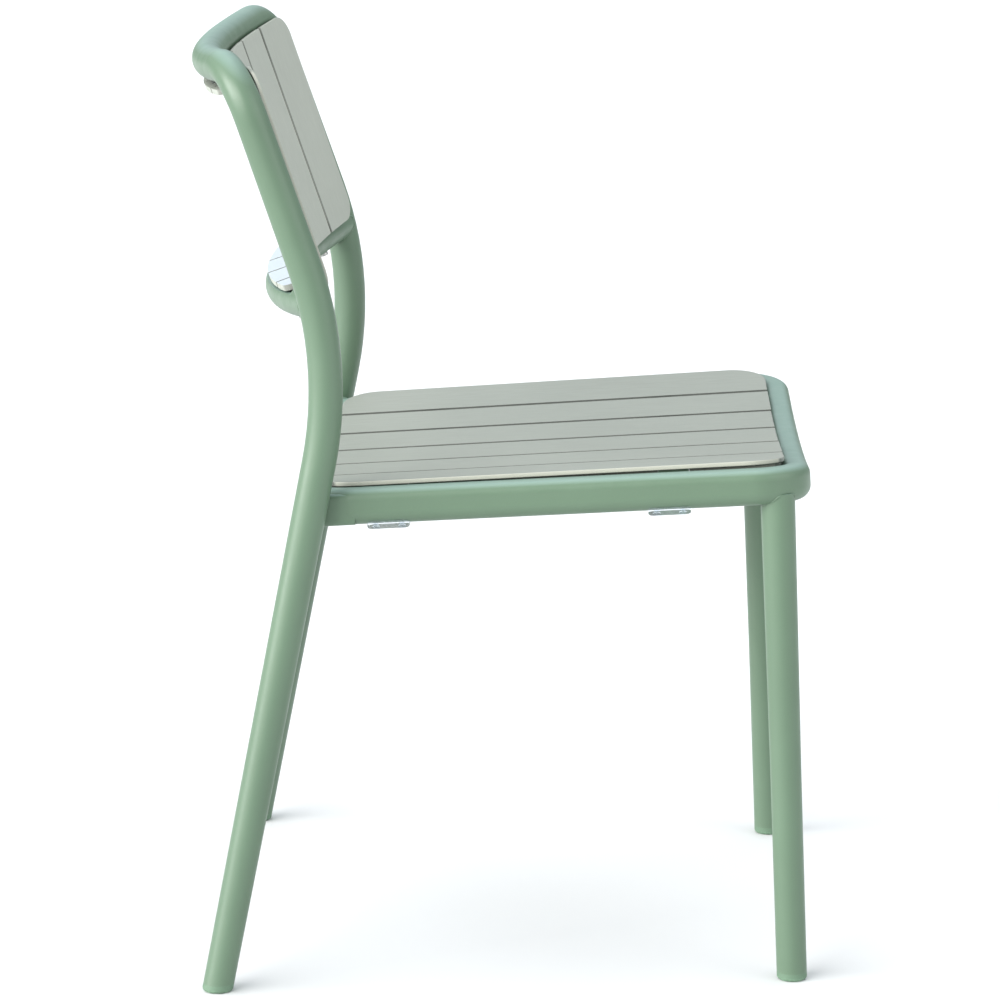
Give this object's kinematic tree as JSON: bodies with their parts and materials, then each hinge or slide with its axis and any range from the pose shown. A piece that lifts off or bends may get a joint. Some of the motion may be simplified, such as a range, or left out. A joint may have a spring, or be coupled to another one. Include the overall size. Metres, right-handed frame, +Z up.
{
  "type": "stacking chair",
  "caption": "Stacking side chair: tapered bent-tube frame, rounded seat ring, dished slatted seat and curved raked slatted backrest.",
  "frame": {"origin": "on the floor, at the centre of the chair's outline", "axes": "+Z up, front of the seat towards -Y, the sitter's left at +X"},
  "size_m": [0.5452, 0.535, 0.796],
  "materials": {
    "frame": "satin sage green powder coat",
    "slats": "matt, pale grey-green",
    "screws": "stainless",
    "glides": "matt green nylon",
    "pads": "clear soft plastic",
    "spacers": "clear soft plastic"
  },
  "bodies": {
    "root": {"back_screws": "screws", "back_slat_1": "slats", "back_slat_2": "slats", "back_slat_3": "slats", "back_slat_4": "slats", "back_slat_5": "slats", "back_slat_6": "slats", "back_spacers": "spacers", "front_glide_left": "glides", "front_glide_right": "glides", "front_leg_left": "frame", "front_leg_right": "frame", "lower_back_rail": "frame", "pad_rivets": "pads", "rear_bracket_left": "frame", "rear_bracket_right": "frame", "rear_glide_left": "glides", "rear_glide_right": "glides", "rear_tube_left": "frame", "rear_tube_right": "frame", "seat_cross_bar_front": "frame", "seat_cross_bar_rear": "frame", "seat_front_rail": "frame", "seat_rear_rail": "frame", "seat_screws": "screws", "seat_side_rail_left": "frame", "seat_side_rail_right": "frame", "seat_slat_1": "slats", "seat_slat_2": "slats", "seat_slat_3": "slats", "seat_slat_4": "slats", "seat_slat_5": "slats", "seat_slat_6": "slats", "stacking_pad_front_left": "pads", "stacking_pad_front_right": "pads", "stacking_pad_rear_left": "pads", "stacking_pad_rear_right": "pads", "top_back_rail": "frame"}
  },
  "joints": []
}
